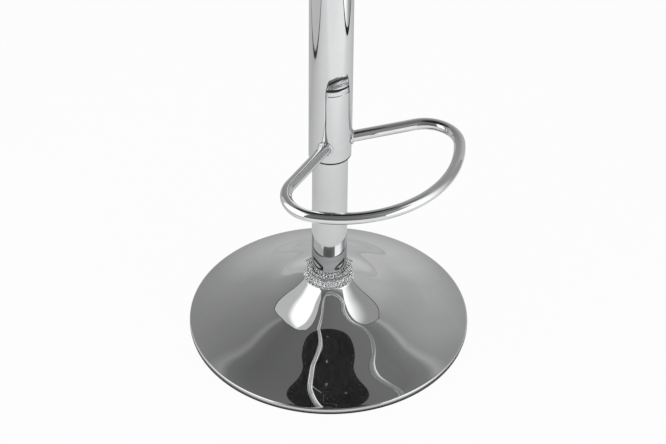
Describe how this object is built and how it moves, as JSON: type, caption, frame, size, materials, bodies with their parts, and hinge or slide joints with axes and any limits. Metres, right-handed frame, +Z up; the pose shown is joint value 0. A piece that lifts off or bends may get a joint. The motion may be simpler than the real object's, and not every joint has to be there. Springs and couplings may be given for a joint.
{
  "type": "bar stool",
  "caption": "Gas-lift bar stool with a trumpet base, looped footrest, release lever and round padded swivel seat.",
  "frame": {"origin": "on the floor at the centre of the round base, on the column's axis", "axes": "+Z up along the column; -Y towards the footrest, the way the sitter faces; the release lever is on the -X side, at the sitter's right hand"},
  "size_m": [0.405, 0.405, 0.8041],
  "materials": {
    "chrome_plate": "mirror-bright chrome plate",
    "bare_steel": "zinc-plated or bright steel",
    "black_paint": "satin black paint",
    "black_plastic": "moulded satin black plastic",
    "clear_plastic": "clear moulded plastic",
    "black_rubber": "matte black rubber",
    "plywood": "sanded plywood",
    "lining_cloth": "black non-woven lining cloth",
    "leatherette": "black grained leatherette"
  },
  "bodies": {
    "base": {"base_shell": "chrome_plate", "base_floor_ring": "black_rubber", "base_socket": "bare_steel", "base_stiffener_plate": "black_paint", "scuff_collar": "clear_plastic", "lift_outer_tube": "chrome_plate", "lift_bottom_plate": "bare_steel", "lift_guide_bush": "black_plastic", "bearing_lower_race": "bare_steel"},
    "spindle": {"piston_rod": "bare_steel", "rod_retaining_clip": "bare_steel", "bearing_ball_cage": "bare_steel", "bearing_upper_race": "bare_steel", "lift_bumper": "black_rubber", "piston": "bare_steel", "piston_seal": "black_rubber", "piston_nut": "bare_steel"},
    "seat_unit": {"gas_cylinder": "black_paint", "cylinder_gland": "black_rubber", "valve_body": "bare_steel", "cover_tube": "chrome_plate", "cover_tube_cap": "bare_steel", "footrest_hub": "chrome_plate", "hub_lower_bush": "black_plastic", "hub_upper_bush": "black_plastic", "footrest_loop": "chrome_plate", "footrest_weld_left": "chrome_plate", "footrest_weld_right": "chrome_plate", "seat_plate": "black_paint", "seat_socket": "black_paint", "seat_bolt_1": "bare_steel", "seat_bolt_2": "bare_steel", "seat_bolt_3": "bare_steel", "seat_bolt_4": "bare_steel", "seat_washer_1": "bare_steel", "seat_washer_2": "bare_steel", "seat_washer_3": "bare_steel", "seat_washer_4": "bare_steel", "seat_tee_nut_1": "bare_steel", "seat_tee_nut_2": "bare_steel", "seat_tee_nut_3": "bare_steel", "seat_tee_nut_4": "bare_steel", "seat_board": "plywood", "seat_dust_cover": "lining_cloth", "seat_cushion": "leatherette"},
    "release_lever": {"lever_rod": "bare_steel", "lever_pivot_pin": "bare_steel", "lever_grip": "black_plastic"},
    "release_pin": {"release_pin": "bare_steel"}
  },
  "joints": [
    {"name": "seat_swivel", "type": "hinge", "parent": "base", "child": "spindle", "pos_m": [0, 0, 0.02], "axis": [0, 0, 1], "continuous": true},
    {"name": "seat_lift", "type": "slide", "parent": "spindle", "child": "seat_unit", "axis": [0, 0, 1], "range_m": [-0.19, 0]},
    {"name": "lever_pull", "type": "hinge", "parent": "seat_unit", "child": "release_lever", "pos_m": [-0.027, 0, 0.7173], "axis": [0, 1, 0], "range_deg": [0, 8], "stiffness_Nm_per_rad": 3, "springref_deg": -2.29},
    {"name": "pin_press", "type": "slide", "parent": "seat_unit", "child": "release_pin", "axis": [0, 0, 1], "range_m": [-0.0038, 0]}
  ],
  "couplings": [
    {"joint": "pin_press", "follows": "lever_pull", "m_per_rad": -0.027}
  ]
}
